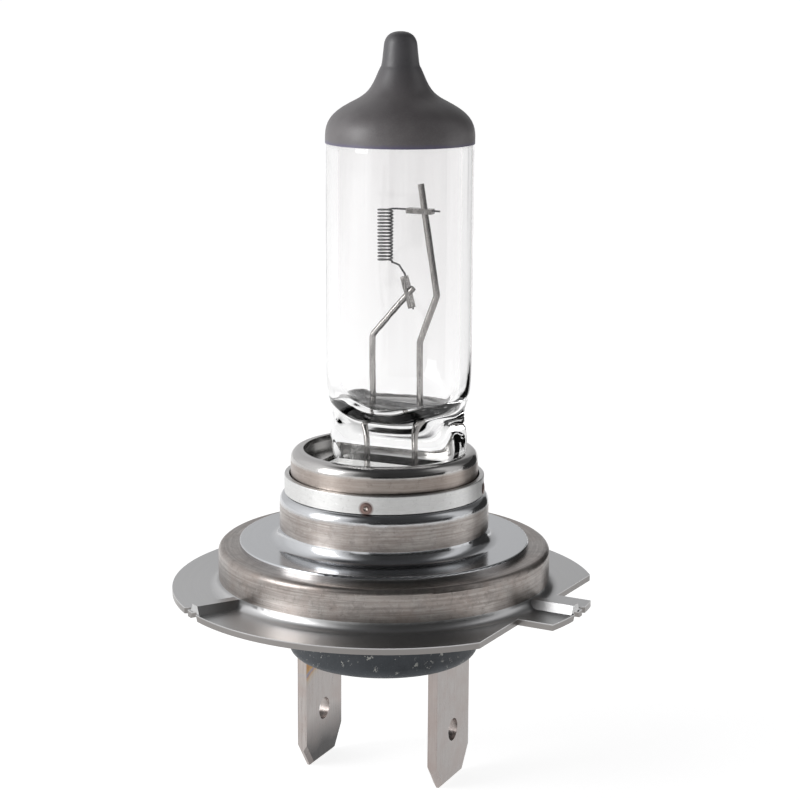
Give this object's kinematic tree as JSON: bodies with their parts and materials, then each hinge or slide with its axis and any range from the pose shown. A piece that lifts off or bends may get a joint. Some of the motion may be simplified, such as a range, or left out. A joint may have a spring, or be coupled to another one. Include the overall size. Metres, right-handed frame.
{
  "type": "headlight_bulb",
  "caption": "Single-filament halogen headlight bulb with a coated glass tip, a flanged metal cap with a locating drum, and two flat blade terminals.",
  "frame": {"origin": "on the axis of the 26 mm locating drum, at the height of the tops of the three reference pips of the flange", "axes": "+Z from the terminals towards the glass tip; +X from the axis towards the terminal on the key-lug side, square to the faces of both blades"},
  "size_m": [0.0334, 0.0334, 0.0587],
  "materials": {
    "clear_glass": "clear hard glass, polished",
    "grey_coating": "matt baked anti-glare coating",
    "tungsten": "drawn tungsten wire",
    "clamp_metal": "pressed molybdenum strip",
    "molybdenum": "drawn rod, dull",
    "spring_steel": "rolled sheet",
    "sleeve_steel": "turned satin wall, polished rolled lip",
    "bright_steel": "bright satin",
    "weld_metal": "heat-tinted weld",
    "polished_steel": "polished shoulder, fine turned wall",
    "cap_steel": "deep-drawn stainless sheet, satin",
    "dark_insulator": "moulded, semi-matt",
    "blade_steel": "rolled strip, light heat tint at the root"
  },
  "bodies": {
    "root": {"glass_envelope": "clear_glass", "glare_coating": "grey_coating", "filament_coil": "tungsten", "upper_filament_clamp": "clamp_metal", "lower_filament_clamp": "clamp_metal", "long_lead_post": "molybdenum", "short_lead_post": "molybdenum", "pinch_clip_front": "spring_steel", "pinch_clip_rear": "spring_steel", "clip_seat_plate": "spring_steel", "upper_sleeve": "sleeve_steel", "adjusting_ring": "bright_steel", "sleeve_weld_spots": "weld_metal", "base_collar": "polished_steel", "cap_ring": "cap_steel", "insulator_body": "dark_insulator", "terminal_blade_key_side": "blade_steel", "terminal_blade_far_side": "blade_steel", "lead_weld_key_side": "weld_metal", "lead_weld_far_side": "weld_metal"}
  },
  "joints": []
}
